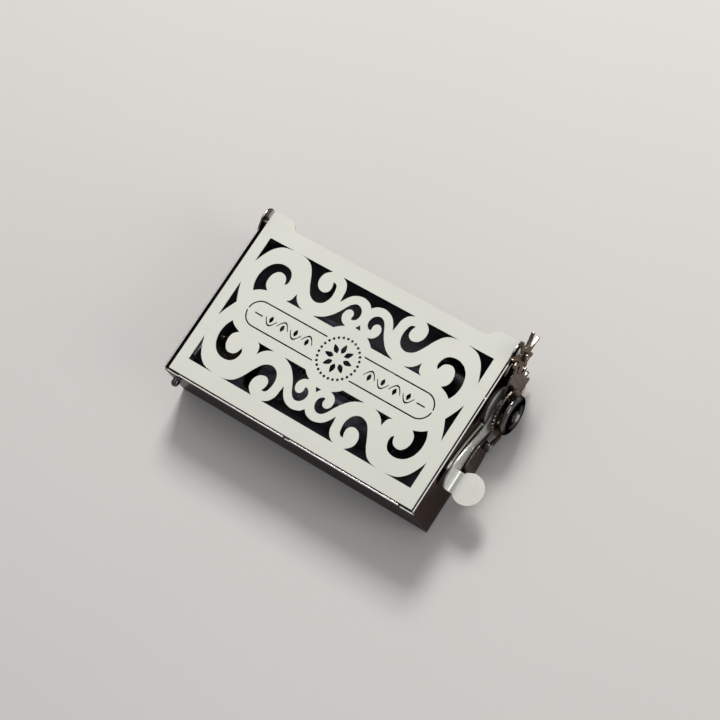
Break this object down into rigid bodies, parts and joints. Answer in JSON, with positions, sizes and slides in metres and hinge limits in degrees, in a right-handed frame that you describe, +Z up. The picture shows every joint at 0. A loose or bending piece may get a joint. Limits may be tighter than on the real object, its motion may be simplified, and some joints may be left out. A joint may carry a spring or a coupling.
{
  "type": "cylinder music box",
  "caption": "Flat rectangular cylinder music box with a pierced scrollwork lid, side winding knob and a geared thumb lever that lifts the lid.",
  "frame": {"origin": "middle of the lid's plan on the underside of the floor plate, where the case rests", "axes": "+X along the case to the winding knob, +Y from the front plate to the lid's hinge, +Z up through the lid"},
  "size_m": [0.1214, 0.0771, 0.0296],
  "materials": {
    "satin_lid": "satin off-white coat over sheet steel, bare cut edges",
    "mirror_sheet": "smoked mirror-polished sheet steel with bright sheared edges, faint brushing along the sheet",
    "polished_lever": "bright polished, light handling marks",
    "smoked_gear": "blanked steel gears, smoked brown-grey, with bright sheared edges",
    "turned_steel": "turned or ground steel",
    "black_gloss": "glossy black",
    "dark_iron": "dark oxide",
    "brass": "machined brass, dulled and dark inside the case",
    "spring_steel": "blued spring steel"
  },
  "bodies": {
    "case": {"floor_plate": "dark_iron", "front_plate": "mirror_sheet", "back_plate": "mirror_sheet", "left_plate": "mirror_sheet", "right_plate": "mirror_sheet", "corner_posts": "dark_iron", "case_screws": "dark_iron", "lid_rest": "dark_iron", "pivot_boss": "polished_lever", "hinge_bracket": "mirror_sheet", "lever_bush": "brass", "bush_clip": "polished_lever", "guide_plate": "smoked_gear", "guide_posts": "turned_steel", "click_stud": "turned_steel", "leaf_spring": "polished_lever", "leaf_rivets": "turned_steel", "right_bearing": "dark_iron", "left_bearing": "dark_iron", "barrel_bearing": "dark_iron", "governor_bearing": "dark_iron", "bearing_screws": "turned_steel", "idler_stud": "turned_steel", "comb_base": "dark_iron", "comb": "spring_steel", "comb_screws": "turned_steel", "stop_guide": "dark_iron"},
    "lid": {"lid_panel": "satin_lid", "lid_lug_left": "polished_lever", "lid_lug_right": "polished_lever", "hinge_pin_left": "turned_steel", "hinge_pin_right": "turned_steel", "finger_pinion": "smoked_gear", "pinion_nut": "smoked_gear"},
    "lever": {"thumb_lever": "polished_lever", "sector_plate": "smoked_gear", "lever_rivets": "polished_lever"},
    "winding": {"winding_arbor": "turned_steel", "ratchet_wheel": "smoked_gear", "winding_knob": "black_gloss", "knob_nut": "polished_lever"},
    "click": {"click_pawl": "smoked_gear"},
    "barrel": {"great_wheel": "brass", "spring_barrel": "brass", "barrel_cover": "brass", "mainspring": "spring_steel"},
    "idler": {"idler_wheel": "brass"},
    "cylinder": {"music_cylinder": "dark_iron", "cylinder_pins": "turned_steel", "cylinder_arbor": "turned_steel", "cylinder_caps": "brass", "cylinder_wheel": "brass", "governor_drive_wheel": "brass"},
    "governor": {"governor_arbor": "turned_steel", "governor_wheel": "brass"},
    "fly": {"fly_arbor": "turned_steel", "fly_vanes": "turned_steel"},
    "stop": {"stop_rod": "turned_steel", "stop_button": "black_gloss", "stop_finger": "turned_steel"}
  },
  "joints": [
    {"name": "lid_hinge", "type": "hinge", "parent": "case", "child": "lid", "pos_m": [0, 0.0318, 0.02065], "axis": [-1, 0, 0], "range_deg": [0, 54]},
    {"name": "lever_pivot", "type": "hinge", "parent": "case", "child": "lever", "pos_m": [0.0543, 0.0145, 0.00984], "axis": [1, 0, 0], "range_deg": [0, 18], "stiffness_Nm_per_rad": 0.002, "springref_deg": -17.19, "deforming": ["leaf_spring"]},
    {"name": "winding_turn", "type": "hinge", "parent": "case", "child": "winding", "pos_m": [0.06, 0.0145, 0.00984], "axis": [1, 0, 0], "continuous": true},
    {"name": "click_pivot", "type": "hinge", "parent": "case", "child": "click", "pos_m": [0.057, 0.0019, 0.00564], "axis": [-1, 0, 0], "range_deg": [0, 12], "stiffness_Nm_per_rad": 0.00002, "springref_deg": -11.46},
    {"name": "barrel_spin", "type": "hinge", "parent": "case", "child": "barrel", "pos_m": [0.028, 0.0145, 0.00984], "axis": [1, 0, 0], "continuous": true},
    {"name": "idler_spin", "type": "hinge", "parent": "case", "child": "idler", "pos_m": [0.028, -0.00025, 0.00984], "axis": [1, 0, 0], "continuous": true},
    {"name": "cylinder_spin", "type": "hinge", "parent": "case", "child": "cylinder", "pos_m": [0, -0.0145, 0.00984], "axis": [1, 0, 0], "continuous": true},
    {"name": "governor_spin", "type": "hinge", "parent": "case", "child": "governor", "pos_m": [-0.033, -0.004, 0.00984], "axis": [1, 0, 0], "continuous": true},
    {"name": "fly_spin", "type": "hinge", "parent": "case", "child": "fly", "pos_m": [-0.04, -0.01223, 0.01459], "axis": [1, 0, 0], "continuous": true},
    {"name": "stop_slide", "type": "slide", "parent": "case", "child": "stop", "axis": [0, 1, 0], "range_m": [-0.0028, 0]}
  ],
  "couplings": [
    {"joint": "lever_pivot", "follows": "lid_hinge", "ratio": 0.33333},
    {"joint": "idler_spin", "follows": "barrel_spin", "ratio": -1.36},
    {"joint": "cylinder_spin", "follows": "barrel_spin", "ratio": 1.0625},
    {"joint": "governor_spin", "follows": "barrel_spin", "ratio": -3.4},
    {"joint": "fly_spin", "follows": "barrel_spin", "ratio": 12.75}
  ]
}
